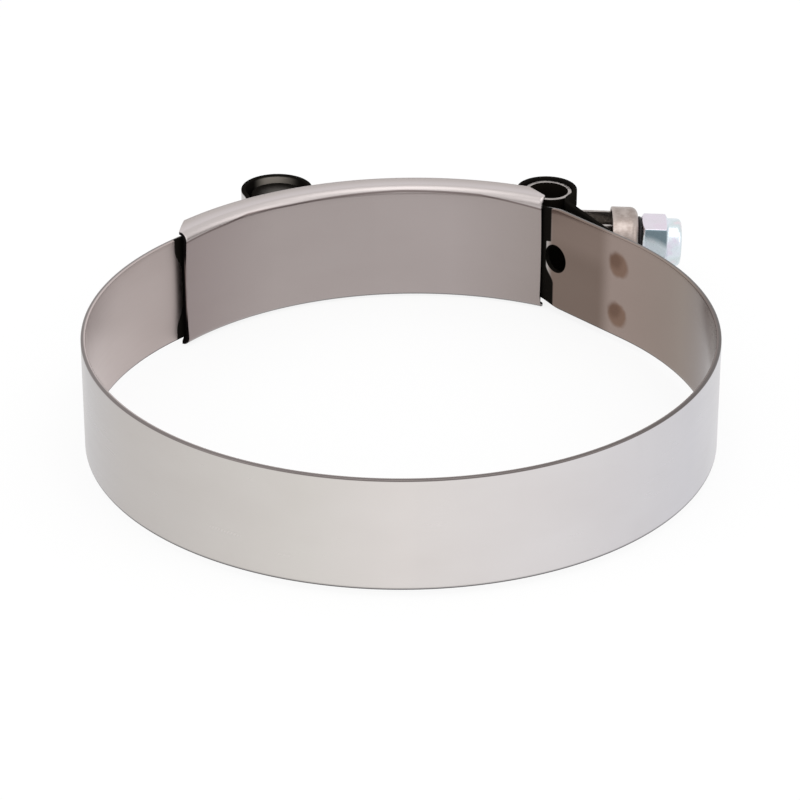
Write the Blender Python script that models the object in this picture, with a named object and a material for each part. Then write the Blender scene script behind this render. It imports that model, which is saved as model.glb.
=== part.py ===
"""A T-bolt clamp: a sheet steel band whose two ends loop back on themselves, a floating bridge
that covers the gap between the loops, and a T-bolt with a trunnion, a cap and a lock nut.

Metres, +Z up along the ring's axis, bolt across the back (+Y), nut towards +X.
In plan, an angle on the ring is counted from +Y towards +X.
"""

import math

import bmesh
import bpy
from mathutils import Matrix, Vector

MM = 0.001

# Band
RING_DIAMETER = 103.7 * MM  # outside
BAND_WIDTH = 19.0 * MM
BAND_THICKNESS = 0.8 * MM
LOOP_NECKING = 0.7 * MM  # the loops are this much narrower than the band, on each edge
NECK_LENGTH = 5.0 * MM
WELD_GAP = 0.1 * MM  # between the band and the tail that is spot welded on it
TAIL_LENGTH = 7.0 * MM  # flat on the band, past its bend
WELD_INSET = 0.4 * MM  # from the tail's landing to the welds
WELD_SPACING = 9.4 * MM
WELD_DIAMETER = 3.2 * MM
WELD_MARK_DIAMETER = 4.2 * MM
WELD_MARK_DEPTH = 0.12 * MM
TOOLING_HOLE_DIAMETER = 5.0 * MM
TOOLING_HOLE_ANGLE = math.radians(30.3)
LOOP_HALF_SPAN = 23.85 * MM  # from each loop's centre to the middle of the gap
GAP_MIDDLE_X = 1.85 * MM
BOLT_STANDOFF = 5.25 * MM  # from the ring's outside to the middle of the bolt
RIGHT_LOOP_RADIUS = 5.35 * MM  # outside
RIGHT_TAIL = (3.0 * MM, math.radians(13.0), 14.0 * MM, 12.0 * MM)  # bend, slope, run, landing bend
RIGHT_LOOP_LIFT = 0.8 * MM  # how far the loop stands off the strip's straight run
LEFT_LOOP_RADIUS = 6.3 * MM
LEFT_TAIL = (10.0 * MM, 0.0, 0.0, 0.0)
LEFT_LOOP_LIFT = 0.0 * MM
LEAD_IN_RADIUS = 20.0 * MM  # of the gentler bend that leads into a loop
SLOT_CLEARANCE = 0.35 * MM
SLOT_SLACK = 2.2 * MM  # extra height that lets the bolt hang askew in the slots
SLOT_CORNER = 1.0 * MM

# Floating bridge
BRIDGE_TIGHTNESS = 1.45 * MM  # by which its arc is tighter than the inside of the band
BRIDGE_CLEARANCE = 0.3 * MM  # between it and the band's two straight runs
BRIDGE_LEFT_OVERLAP = math.radians(12.2)  # past the place where the band leaves the ring
BRIDGE_RIGHT_SHORTFALL = math.radians(22.2)  # the right end stops this far before that place
BRIDGE_THICKNESS = 0.55 * MM
BRIDGE_BEND_RADIUS = 1.5 * MM
BRIDGE_EDGE_CLEARANCE = 0.62 * MM  # between a flange and the edge of the band
BRIDGE_FLANGE_REACH = 4.0 * MM
BRIDGE_FLANGE_STUB = 0.05 * MM  # straight part that the slanting cut leaves past the bend
BRIDGE_END_CUT = 3.8 * MM  # length of the slanting cut across each flange's end
BRIDGE_END_CROWN = 0.3 * MM
BRIDGE_CROWN_LENGTH = 13.0 * MM
BRIDGE_LIFT = 0.12 * MM
BRIDGE_SLOPE = -0.0015  # it lies a little askew in the band

# Bolt line
HEAD_GAP = 0.3 * MM  # between the bolt's head and the loop it pulls against
SEAT_GAP = 0.12 * MM  # left between pieces that bear on each other
CAP_SEAT_GAP = 0.29 * MM  # the corners of the legs clear the rounded edge of the cap
BOLT_HEIGHT = 8.6 * MM  # where the bolt crosses the trunnion
BOLT_DROOP = math.radians(2.0)
BOLT_DIAMETER = 4.83 * MM
BOLT_END = 23.7 * MM  # from the trunnion's axis
BOLT_CHAMFER = 0.5 * MM
HEAD_DIAMETER = 10.0 * MM
HEAD_LENGTH = 13.8 * MM
HEAD_CHAMFER = 0.4 * MM
SHANK_CLEARANCE = 0.25 * MM

# Trunnion, folded from sheet: a rolled barrel with two legs
TRUNNION_DIAMETER = 8.2 * MM
TRUNNION_LENGTH = 18.6 * MM
TRUNNION_THICKNESS = 0.65 * MM
LEG_WIDTH = 8.5 * MM
LEG_END = 15.33 * MM

# Cap, washer and nut, each placed on the one before
CAP_LENGTH = 4.67 * MM
CAP_WALL = 0.5 * MM
CAP_EDGE_RADIUS = 1.3 * MM
WASHER_THICKNESS = 0.5 * MM
WASHER_DIAMETER = 8.8 * MM
NUT_ACROSS_FLATS = 8.73 * MM
NUT_HEX_LENGTH = 4.6 * MM
NUT_LENGTH = 7.05 * MM
NUT_COLLAR_DIAMETER = 8.5 * MM
NUT_COLLAR_WALL = 0.5 * MM
NUT_CRIMP_RADIUS = 0.8 * MM
NUT_LIP = 0.5 * MM
NUT_CHAMFER = math.radians(30.0)
NUT_TURN = math.radians(19.0)
INSERT_CLEARANCE = 0.12 * MM

RING_STEP = math.radians(3.0)
LOOP_STEP = math.radians(12.0)
ROUND_SIDES = 40
CUT_MARGIN = 2.0 * MM

RING_MID_RADIUS = (RING_DIAMETER - BAND_THICKNESS) / 2
RING_INNER_RADIUS = RING_DIAMETER / 2 - BAND_THICKNESS
BOLT_LINE_Y = RING_DIAMETER / 2 + BOLT_STANDOFF
BAND_MIDDLE = BAND_WIDTH / 2
TAIL_OFFSET = BAND_THICKNESS + WELD_GAP
RIGHT_LOOP_CENTRE = Vector((LOOP_HALF_SPAN + GAP_MIDDLE_X, BOLT_LINE_Y))
LEFT_LOOP_CENTRE = Vector((LOOP_HALF_SPAN - GAP_MIDDLE_X, BOLT_LINE_Y))  # seen mirrored, on the +X side
BRIDGE_RADIUS = RING_INNER_RADIUS - BRIDGE_TIGHTNESS - BRIDGE_THICKNESS  # inside face of its web
BRIDGE_HALF_HEIGHT = BAND_MIDDLE + BRIDGE_EDGE_CLEARANCE + BRIDGE_THICKNESS
LEG_INNER = BOLT_DIAMETER / 2 + SHANK_CLEARANCE
LEG_OUTER = LEG_INNER + TRUNNION_THICKNESS
CAP_END = LEG_END + CAP_SEAT_GAP + CAP_WALL
CAP_INNER_RADIUS = math.hypot(LEG_WIDTH / 2, LEG_OUTER) + INSERT_CLEARANCE
WASHER_START = CAP_END + SEAT_GAP
NUT_START = WASHER_START + WASHER_THICKNESS + SEAT_GAP


def clear_scene():
    for old in list(bpy.data.objects):
        bpy.data.objects.remove(old, do_unlink=True)


def metal(name, colour, roughness, metallic=1.0):
    material = bpy.data.materials.new(name)
    material.use_nodes = True
    shader = material.node_tree.nodes["Principled BSDF"]
    shader.inputs["Base Color"].default_value = (*colour, 1.0)
    shader.inputs["Roughness"].default_value = roughness
    shader.inputs["Metallic"].default_value = metallic
    return material


def empty(name, place, parent=None, turn=0.0):
    frame = bpy.data.objects.new(name, None)
    frame.location = place
    frame.rotation_euler = (0.0, turn, 0.0)
    frame.parent = parent
    bpy.context.collection.objects.link(frame)
    return frame


def finished(bm, name, parent, material=None):
    """One closed mesh object from bm, smooth over its round parts."""
    bmesh.ops.remove_doubles(bm, verts=bm.verts, dist=1e-7)
    bmesh.ops.recalc_face_normals(bm, faces=bm.faces)
    mesh = bpy.data.meshes.new(name)
    bm.to_mesh(mesh)
    bm.free()
    mesh.shade_smooth()
    mesh.set_sharp_from_angle(angle=math.radians(30.0))
    piece = bpy.data.objects.new(name, mesh)
    piece.parent = parent
    bpy.context.collection.objects.link(piece)
    if material:
        mesh.materials.append(material)
    return piece


def tool(piece):
    """Marks a piece as a helper that is never part of the clamp."""
    piece.hide_render = True
    piece.display_type = "WIRE"
    return piece


def combine(piece, other, operation):
    modifier = piece.modifiers.new(other.name, "BOOLEAN")
    modifier.operation = operation
    modifier.object = tool(other)


def swept(name, sections, parent, material=None):
    """Skins a row of equal closed sections and closes both ends."""
    bm = bmesh.new()
    rings = [[bm.verts.new(point) for point in section] for section in sections]
    for first, second in zip(rings, rings[1:]):
        for i in range(len(first)):
            j = (i + 1) % len(first)
            bm.faces.new((first[i], first[j], second[j], second[i]))
    bm.faces.new(rings[0])
    bm.faces.new(rings[-1])
    return finished(bm, name, parent, material)


def turned(name, profile, parent, material=None, sides=ROUND_SIDES):
    """Spins a closed (along, radius) profile round the bolt line, local X."""
    bm = bmesh.new()
    ring = [bm.verts.new((along, 0.0, radius)) for along, radius in profile]
    edges = [bm.edges.new((ring[i], ring[(i + 1) % len(ring)])) for i in range(len(ring))]
    bmesh.ops.spin(bm, geom=ring + edges, axis=(1, 0, 0), cent=(0, 0, 0),
                   angle=math.tau, steps=sides, use_merge=True)
    bmesh.ops.dissolve_degenerate(bm, edges=bm.edges, dist=1e-7)
    return finished(bm, name, parent, material)


def prism(name, outline, low, high, parent, axis="Z", material=None):
    """Extrudes a closed outline along local Z, or along X for an outline in (y, z)."""
    bm = bmesh.new()
    ring = [bm.verts.new((u, v, low)) for u, v in outline]
    face = bm.faces.new(ring)
    moved = bmesh.ops.extrude_face_region(bm, geom=[face])["geom"]
    top = [element for element in moved if isinstance(element, bmesh.types.BMVert)]
    bmesh.ops.translate(bm, verts=top, vec=(0.0, 0.0, high - low))
    if axis == "X":
        onto_x = Matrix(((0, 0, 1, 0), (1, 0, 0, 0), (0, 1, 0, 0), (0, 0, 0, 1)))
        bmesh.ops.transform(bm, verts=bm.verts, matrix=onto_x)
    return finished(bm, name, parent, material)


def circle(radius, centre=(0.0, 0.0), sides=ROUND_SIDES, turn=0.0):
    angles = [turn + math.tau * i / sides for i in range(sides)]
    return [(centre[0] + radius * math.cos(a), centre[1] + radius * math.sin(a)) for a in angles]


def box_outline(low, high):
    return [(low[0], low[1]), (high[0], low[1]), (high[0], high[1]), (low[0], high[1])]


def slot_outline(centre, half_width, half_height, corner):
    """An upright slot with rounded corners, in (y, z)."""
    outline = []
    for quarter_turn, (across, up) in enumerate(((1, 1), (-1, 1), (-1, -1), (1, -1))):
        hub_y = centre[0] + across * (half_width - corner)
        hub_z = centre[1] + up * (half_height - corner)
        for i in range(5):
            angle = math.pi / 2 * (quarter_turn + i / 4)
            outline.append((hub_y + corner * math.cos(angle), hub_z + corner * math.sin(angle)))
    return outline


def smooth_step(x):
    x = min(max(x, 0.0), 1.0)
    return x * x * (3 - 2 * x)


def steps(start, end, step):
    count = max(2, math.ceil(abs(end - start) / step))
    return [start + (end - start) * i / count for i in range(count + 1)]


def leaving_angle(centre, loop_radius, lift):
    """Where on the ring the strip leaves it, for a loop on the +X side."""
    reach = RING_MID_RADIUS + loop_radius - BAND_THICKNESS / 2 + lift
    return math.atan2(centre.x, centre.y) + math.acos(reach / centre.length)


def bridge_arc():
    """(centre, first angle, last angle) of the bridge, which nearly touches both straight runs.

    Its back bears on the left run along a tangent, and its right end on the right run, so its
    centre solves one linear equation for each.
    """
    right = leaving_angle(RIGHT_LOOP_CENTRE, RIGHT_LOOP_RADIUS, RIGHT_LOOP_LIFT)
    left = leaving_angle(LEFT_LOOP_CENTRE, LEFT_LOOP_RADIUS, LEFT_LOOP_LIFT)
    near = RING_INNER_RADIUS - BRIDGE_CLEARANCE
    back = BRIDGE_RADIUS + BRIDGE_THICKNESS
    from_left = near - back
    from_right = near - back * math.cos(BRIDGE_RIGHT_SHORTFALL)
    x = (from_right * math.cos(left) - from_left * math.cos(right)) / math.sin(left + right)
    y = (from_right * math.sin(left) + from_left * math.sin(right)) / math.sin(left + right)
    return Vector((x, y, 0.0)), -left - BRIDGE_LEFT_OVERLAP, right - BRIDGE_RIGHT_SHORTFALL


def band_end(centre, loop_radius, tail, lift):
    """The strip's centreline from the front of the ring to the end of one tail, on the +X side.

    Each station is (place, side, necking): side points out of the ring, then into the loop, and
    on the tail back at the band. The strip leaves the ring on a straight tangent, leads into the
    loop, rolls round it, bends back and runs down a slope on to its own outer face.
    """
    ring = RING_MID_RADIUS
    loop = loop_radius - BAND_THICKNESS / 2
    leave = leaving_angle(centre, loop_radius, lift)
    out = Vector((math.sin(leave), math.cos(leave)))
    along = Vector((-math.cos(leave), math.sin(leave)))
    lead = math.acos(1 - lift / (LEAD_IN_RADIUS - loop))
    tail_bend, slope, run, landing_bend = tail
    rise = landing_bend * (1 - math.cos(slope)) + run * math.sin(slope) + tail_bend * math.cos(slope)
    bend = math.acos((ring + TAIL_OFFSET + rise - centre.dot(out)) / (loop + tail_bend))

    def side(angle):
        return out * math.cos(angle) - along * math.sin(angle)

    lead_hub = centre + side(lead) * (LEAD_IN_RADIUS - loop)
    tail_hub = centre - side(math.pi + bend) * (loop + tail_bend)
    straight = lead_hub.dot(along)
    stations = []
    for angle in steps(math.pi, leave, RING_STEP):
        radial = Vector((math.sin(angle), math.cos(angle)))
        stations.append((radial * ring, radial, 0.0))
    for reach in steps(0.0, straight, NECK_LENGTH / 4)[1:]:
        necking = smooth_step(1 - (straight - reach) / NECK_LENGTH)
        stations.append((out * ring + along * reach, out, necking))
    if lead:
        for angle in steps(0.0, lead, LOOP_STEP)[1:]:
            stations.append((lead_hub - side(angle) * LEAD_IN_RADIUS, side(angle), 1.0))
    for angle in steps(lead, math.pi + bend, LOOP_STEP)[1:]:
        stations.append((centre - side(angle) * loop, side(angle), 1.0))
    foot = math.pi + slope
    for angle in steps(math.pi + bend, foot, LOOP_STEP)[1:]:
        stations.append((tail_hub + side(angle) * tail_bend, side(angle), 1.0))
    if run:
        down = along * math.cos(slope) + out * math.sin(slope)
        stations.append((stations[-1][0] - down * run, side(foot), 1.0))
        tail_hub = stations[-1][0] - side(foot) * landing_bend
        for angle in steps(foot, math.pi, LOOP_STEP / 3)[1:]:
            stations.append((tail_hub + side(angle) * landing_bend, side(angle), 1.0))
    landing = tail_hub.dot(along)
    flat = min(landing, TAIL_LENGTH)
    stations.append((stations[-1][0] - along * flat, -out, 1.0))
    if TAIL_LENGTH > flat:
        for angle in steps(leave, leave + (TAIL_LENGTH - flat) / ring, RING_STEP)[1:]:
            radial = Vector((math.sin(angle), math.cos(angle)))
            stations.append((radial * (ring + TAIL_OFFSET), -radial, 1.0))
    weld = out * (ring + TAIL_OFFSET / 2) + along * (landing + WELD_INSET)
    return stations, weld, out


def mirrored(vector):
    return Vector((-vector.x, vector.y))


def band_sections(stations):
    half = BAND_THICKNESS / 2
    sections = []
    for place, side, necking in stations:
        low = LOOP_NECKING * necking
        high = BAND_WIDTH - low
        inner, outer = place - side * half, place + side * half
        sections.append([(inner.x, inner.y, low), (outer.x, outer.y, low),
                         (outer.x, outer.y, high), (inner.x, inner.y, high)])
    return sections


def outward_round(name, place, out, height, radius, low, high, parent):
    """A round bar that points out of the ring at place, from low to high along out."""
    bar = prism(name, circle(radius), low, high, parent)
    bar.location = (place.x, place.y, height)
    bar.rotation_euler = Vector((out.x, out.y, 0.0)).to_track_quat("Z", "Y").to_euler()
    return bar


def make_band(parent, steel):
    right, right_weld, right_out = band_end(RIGHT_LOOP_CENTRE, RIGHT_LOOP_RADIUS, RIGHT_TAIL,
                                            RIGHT_LOOP_LIFT)
    left, left_weld, left_out = band_end(LEFT_LOOP_CENTRE, LEFT_LOOP_RADIUS, LEFT_TAIL, LEFT_LOOP_LIFT)
    left = [(mirrored(place), mirrored(side), necking) for place, side, necking in left]
    stations = left[:0:-1] + right
    band = swept("band", band_sections(stations), parent, steel)

    for name, weld, out in (("right", right_weld, right_out),
                            ("left", mirrored(left_weld), mirrored(left_out))):
        for level in (-1, 1):
            height = BAND_MIDDLE + level * WELD_SPACING / 2
            label = f"{name}_weld_{'low' if level < 0 else 'high'}"
            reach = TAIL_OFFSET / 2
            combine(band, outward_round(label, weld, out, height, WELD_DIAMETER / 2,
                                        -reach, reach, parent), "UNION")
            face = TAIL_OFFSET / 2 + BAND_THICKNESS / 2
            combine(band, outward_round(label + "_mark", weld, out, height, WELD_MARK_DIAMETER / 2,
                                        face - WELD_MARK_DEPTH, face + CUT_MARGIN, parent), "DIFFERENCE")

    hole_side = Vector((math.sin(TOOLING_HOLE_ANGLE), math.cos(TOOLING_HOLE_ANGLE)))
    turned_from_hole = math.atan2(right_out.x, right_out.y) - TOOLING_HOLE_ANGLE
    hole_place = hole_side * (RING_MID_RADIUS / math.cos(turned_from_hole))
    combine(band, outward_round("tooling_hole", hole_place, right_out, BAND_MIDDLE, TOOLING_HOLE_DIAMETER / 2,
                                -CUT_MARGIN, CUT_MARGIN, parent), "DIFFERENCE")

    bolt_half_width = BOLT_DIAMETER / 2 + SLOT_CLEARANCE
    bolt_half_height = bolt_half_width + SLOT_SLACK
    leg_half_width = LEG_OUTER + SLOT_CLEARANCE
    leg_half_height = LEG_WIDTH / 2 + 2 * SLOT_CLEARANCE + (BAND_MIDDLE - BOLT_HEIGHT)
    middle = (BOLT_LINE_Y, BAND_MIDDLE)
    left_x, right_x = -LEFT_LOOP_CENTRE.x, RIGHT_LOOP_CENTRE.x
    for name, outline, start, end in (
        ("left_loop_slot", slot_outline(middle, bolt_half_width, bolt_half_height, SLOT_CORNER),
         left_x + BOLT_DIAMETER / 2, left_x + LEFT_LOOP_RADIUS + CUT_MARGIN),
        ("right_loop_slot", slot_outline(middle, bolt_half_width, bolt_half_height, SLOT_CORNER),
         right_x - RIGHT_LOOP_RADIUS - CUT_MARGIN, right_x),
        ("right_leg_slot", slot_outline(middle, leg_half_width, leg_half_height, SLOT_CORNER),
         right_x, right_x + 2 * RIGHT_LOOP_RADIUS),
    ):
        combine(band, prism(name, outline, start, end, parent, axis="X"), "DIFFERENCE")
    return band


def bridge_section(angle, from_end, centre):
    """One cross section of the bridge: a web with a bent flange on each edge, open outwards."""
    crown = BRIDGE_END_CROWN * smooth_step(1 - from_end / BRIDGE_CROWN_LENGTH)
    full = BRIDGE_FLANGE_REACH - BRIDGE_BEND_RADIUS - BRIDGE_FLANGE_STUB
    reach = BRIDGE_BEND_RADIUS + BRIDGE_FLANGE_STUB + full * min(1.0, from_end / BRIDGE_END_CUT)
    web = BRIDGE_HALF_HEIGHT - BRIDGE_BEND_RADIUS
    points = []
    for inset in (0.0, BRIDGE_THICKNESS):
        radius = BRIDGE_BEND_RADIUS - inset
        face = [(reach, BRIDGE_HALF_HEIGHT - inset)]
        for i in range(6):
            turn = math.pi / 2 * i / 5
            face.append((BRIDGE_BEND_RADIUS - radius * math.sin(turn), web + radius * math.cos(turn)))
        for height in (0.6, 0.3, 0.0, -0.3, -0.6):
            face.append((inset + crown * (1 - height * height), web * height))
        face += [(out, -height) for out, height in reversed(face[:7])]
        points += face if inset == 0.0 else reversed(face)
    side = Vector((math.sin(angle), math.cos(angle)))
    section = []
    for out, height in points:
        x = side.x * (BRIDGE_RADIUS + out)
        y = side.y * (BRIDGE_RADIUS + out)
        lean = BRIDGE_LIFT + BRIDGE_SLOPE * (x + centre.x)
        section.append((x, y, BAND_MIDDLE + height + lean))
    return section


def make_bridge(arc, parent, steel):
    centre, first, last = arc
    crown_span = BRIDGE_CROWN_LENGTH / BRIDGE_RADIUS
    cut = BRIDGE_END_CUT / BRIDGE_RADIUS
    angles = steps(first, first + cut, cut / 2)[:-1]
    angles += steps(first + cut, first + crown_span, RING_STEP)[:-1]
    angles += steps(first + crown_span, last - crown_span, RING_STEP)[:-1]
    angles += steps(last - crown_span, last - cut, RING_STEP)[:-1]
    angles += steps(last - cut, last, cut / 2)
    sections = [bridge_section(angle, BRIDGE_RADIUS * min(angle - first, last - angle), centre)
                for angle in angles]
    return swept("bridge", sections, parent, steel)


def make_t_bolt(parent, steel):
    play = LEFT_LOOP_RADIUS - BAND_THICKNESS - HEAD_DIAMETER / 2
    head_at = -2 * LOOP_HALF_SPAN / math.cos(BOLT_DROOP) + play - HEAD_GAP  # pulled against the loop
    radius, half, chamfer = HEAD_DIAMETER / 2, HEAD_LENGTH / 2, HEAD_CHAMFER
    head_profile = [(-half, 0.0), (-half, radius - chamfer), (-half + chamfer, radius),
                    (half - chamfer, radius), (half, radius - chamfer), (half, 0.0)]
    head = turned("t_bolt", head_profile, parent, steel)
    head.data.transform(Matrix.Translation((head_at, 0, 0)) @ Matrix.Rotation(math.pi / 2, 4, "Y"))
    thread = BOLT_DIAMETER / 2
    shank_profile = [(head_at, 0.0), (head_at, thread), (BOLT_END - BOLT_CHAMFER, thread),
                     (BOLT_END, thread - BOLT_CHAMFER), (BOLT_END, 0.0)]
    combine(head, turned("shank", shank_profile, parent), "UNION")
    return head


def make_trunnion(parent, steel):
    outer = TRUNNION_DIAMETER / 2
    inner = outer - TRUNNION_THICKNESS
    half = TRUNNION_LENGTH / 2
    ring = [(-half, inner), (-half, outer), (half, outer), (half, inner)]
    barrel = turned("trunnion", ring, parent, steel)
    barrel.data.transform(Matrix.Rotation(math.pi / 2, 4, "Y"))
    window = prism("trunnion_window", box_outline((-LEG_INNER, -LEG_WIDTH / 2), (LEG_INNER, LEG_WIDTH / 2)),
                   0.0, outer + CUT_MARGIN, parent, axis="X")
    combine(barrel, window, "DIFFERENCE")
    bolt_hole = prism("trunnion_bolt_hole", circle(BOLT_DIAMETER / 2 + SHANK_CLEARANCE),
                      -outer - CUT_MARGIN, 0.0, parent, axis="X")
    combine(barrel, bolt_hole, "DIFFERENCE")
    middle_radius = (inner + outer) / 2
    leg_start = math.sqrt(middle_radius ** 2 - ((LEG_INNER + LEG_OUTER) / 2) ** 2)
    for name, sign in (("back_leg", 1), ("front_leg", -1)):
        low, high = sorted((sign * LEG_INNER, sign * LEG_OUTER))
        leg = prism(name, box_outline((low, -LEG_WIDTH / 2), (high, LEG_WIDTH / 2)),
                    leg_start, LEG_END, parent, axis="X")
        combine(barrel, leg, "UNION")
    return barrel


def quarter(centre, radius, start, count=5):
    """Points of a rounded corner in (along, radius), a quarter turn from start."""
    return [(centre[0] + radius * math.cos(start + math.pi / 2 * i / count),
             centre[1] + radius * math.sin(start + math.pi / 2 * i / count)) for i in range(count + 1)]


def make_end_cap(parent, steel):
    outer = CAP_INNER_RADIUS + CAP_WALL
    hole = BOLT_DIAMETER / 2 + SHANK_CLEARANCE
    mouth = CAP_END - CAP_LENGTH
    corner = (CAP_END - CAP_EDGE_RADIUS, outer - CAP_EDGE_RADIUS)
    profile = [(CAP_END, hole)]
    profile += quarter(corner, CAP_EDGE_RADIUS, 0.0)
    profile += [(mouth, outer), (mouth, CAP_INNER_RADIUS)]
    profile += quarter(corner, CAP_EDGE_RADIUS - CAP_WALL, 0.0)[::-1]
    profile += [(CAP_END - CAP_WALL, hole)]
    return turned("end_cap", profile, parent, steel)


def make_thrust_washer(parent, dark):
    hole = BOLT_DIAMETER / 2 + SHANK_CLEARANCE
    outer = WASHER_DIAMETER / 2
    end = WASHER_START + WASHER_THICKNESS
    return turned("thrust_washer", [(WASHER_START, hole), (WASHER_START, outer), (end, outer), (end, hole)],
                  parent, dark)


def make_lock_nut(parent, zinc):
    flat = NUT_ACROSS_FLATS / 2
    corner = flat / math.cos(math.pi / 6)
    drop = (corner - flat) * math.tan(NUT_CHAMFER)
    hex_end = NUT_START + NUT_HEX_LENGTH
    end = NUT_START + NUT_LENGTH
    nut = prism("lock_nut", circle(corner, sides=6, turn=math.pi / 2 - NUT_TURN), NUT_START, hex_end,
                parent, axis="X", material=zinc)
    wide = corner + CUT_MARGIN
    slope = math.tan(NUT_CHAMFER) * (wide - flat)
    for name, face, inwards in (("front_chamfer", NUT_START, 1), ("back_chamfer", hex_end, -1)):
        ring = [(face - inwards * CUT_MARGIN, flat), (face - inwards * CUT_MARGIN, wide),
                (face + inwards * slope, wide), (face, flat)]
        combine(nut, turned(name, ring, parent), "DIFFERENCE")
    collar = NUT_COLLAR_DIAMETER / 2
    bore = BOLT_DIAMETER / 2 + SHANK_CLEARANCE
    shell = [(hex_end - drop, bore), (hex_end - drop, collar)]
    shell += quarter((end - NUT_CRIMP_RADIUS, collar - NUT_CRIMP_RADIUS), NUT_CRIMP_RADIUS, 0.0)[::-1]
    shell += [(end, bore)]
    combine(nut, turned("crimped_collar", shell, parent), "UNION")
    pocket = collar - NUT_COLLAR_WALL
    lip = pocket - NUT_LIP
    inside = [(NUT_START - CUT_MARGIN, 0.0), (NUT_START - CUT_MARGIN, bore), (hex_end, bore),
              (hex_end, pocket), (end - NUT_COLLAR_WALL, pocket), (end - NUT_COLLAR_WALL, lip),
              (end + CUT_MARGIN, lip), (end + CUT_MARGIN, 0.0)]
    combine(nut, turned("nut_inside", inside, parent), "DIFFERENCE")
    return nut


def make_nylon_insert(parent, nylon):
    start = NUT_START + NUT_HEX_LENGTH + INSERT_CLEARANCE
    end = NUT_START + NUT_LENGTH - NUT_COLLAR_WALL - INSERT_CLEARANCE
    outer = NUT_COLLAR_DIAMETER / 2 - NUT_COLLAR_WALL - INSERT_CLEARANCE
    inner = BOLT_DIAMETER / 2 + INSERT_CLEARANCE
    return turned("nylon_insert", [(start, inner), (start, outer), (end, outer), (end, inner)], parent, nylon)


def stand_on_floor(root):
    """Moves the clamp so that the middle of its underside box is the origin."""
    bpy.context.view_layer.update()
    graph = bpy.context.evaluated_depsgraph_get()
    corners = []
    for piece in bpy.context.scene.objects:
        if piece.type == "MESH" and not piece.hide_render:
            solid = piece.evaluated_get(graph)
            mesh = solid.to_mesh()
            corners += [solid.matrix_world @ vertex.co for vertex in mesh.vertices]
            solid.to_mesh_clear()
    low = [min(corner[i] for corner in corners) for i in range(3)]
    high = [max(corner[i] for corner in corners) for i in range(3)]
    root.location = (-(low[0] + high[0]) / 2, -(low[1] + high[1]) / 2, -low[2])


def main():
    clear_scene()
    steel = metal("satin_steel", (0.62, 0.60, 0.59), 0.28)
    formed = metal("formed_steel", (0.55, 0.52, 0.50), 0.3)
    bolt_steel = metal("bolt_steel", (0.45, 0.43, 0.41), 0.35)
    zinc = metal("zinc_plate", (0.70, 0.76, 0.82), 0.25)
    dark = metal("black_oxide", (0.03, 0.03, 0.03), 0.5)
    nylon = metal("nylon", (0.75, 0.78, 0.85), 0.45, metallic=0.0)

    ring_axis = empty("ring_axis", (0.0, 0.0, 0.0))
    arc = bridge_arc()
    bridge_axis = empty("bridge_axis", arc[0], ring_axis)
    bolt_axis = empty("bolt_axis", (*RIGHT_LOOP_CENTRE, BOLT_HEIGHT), ring_axis, BOLT_DROOP)
    make_band(ring_axis, steel)
    make_bridge(arc, bridge_axis, steel)
    make_t_bolt(bolt_axis, bolt_steel)
    make_trunnion(bolt_axis, formed)
    make_end_cap(bolt_axis, formed)
    make_thrust_washer(bolt_axis, dark)
    make_lock_nut(bolt_axis, zinc)
    make_nylon_insert(bolt_axis, nylon)
    stand_on_floor(ring_axis)


main()
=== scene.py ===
import math

import bpy
import numpy as np
from mathutils import Matrix, Vector


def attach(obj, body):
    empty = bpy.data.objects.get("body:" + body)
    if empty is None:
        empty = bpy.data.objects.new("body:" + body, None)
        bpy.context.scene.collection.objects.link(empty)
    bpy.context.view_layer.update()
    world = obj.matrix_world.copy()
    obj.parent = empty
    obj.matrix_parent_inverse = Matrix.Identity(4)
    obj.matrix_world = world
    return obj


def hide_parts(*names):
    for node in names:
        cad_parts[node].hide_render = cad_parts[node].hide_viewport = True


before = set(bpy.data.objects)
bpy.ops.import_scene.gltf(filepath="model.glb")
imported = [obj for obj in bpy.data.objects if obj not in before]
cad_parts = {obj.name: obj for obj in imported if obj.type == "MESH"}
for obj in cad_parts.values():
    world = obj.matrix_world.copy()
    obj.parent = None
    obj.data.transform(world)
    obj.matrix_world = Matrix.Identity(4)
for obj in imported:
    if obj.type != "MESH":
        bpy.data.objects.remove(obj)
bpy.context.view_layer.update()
mm = 0.001
print("Frame loaded:", ", ".join(sorted(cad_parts)))


# Shader maths: a Number stands for one output of a node, and sums on it add Math nodes

class Number:
    def __init__(self, finish, socket):
        self.finish, self.socket = finish, socket

    def maths(self, operation, first, second=0.0):
        return self.finish.add("ShaderNodeMath", {"operation": operation}, {0: first, 1: second})

    def __add__(self, other):
        return self.maths("ADD", self, other)

    def __sub__(self, other):
        return self.maths("SUBTRACT", self, other)

    def __rsub__(self, other):
        return self.maths("SUBTRACT", other, self)

    def __mul__(self, other):
        return self.maths("MULTIPLY", self, other)

    def __truediv__(self, other):
        return self.maths("DIVIDE", self, other)

    def __pow__(self, other):
        return self.maths("POWER", self, other)

    def least(self, other):
        return self.maths("MINIMUM", self, other)

    def most(self, other):
        return self.maths("MAXIMUM", self, other)

    def size(self):
        return self.maths("ABSOLUTE", self)

    __radd__, __rmul__ = __add__, __mul__


def wire(tree, *pairs):
    for source, socket in pairs:
        tree.links.new(source, socket)


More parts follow.
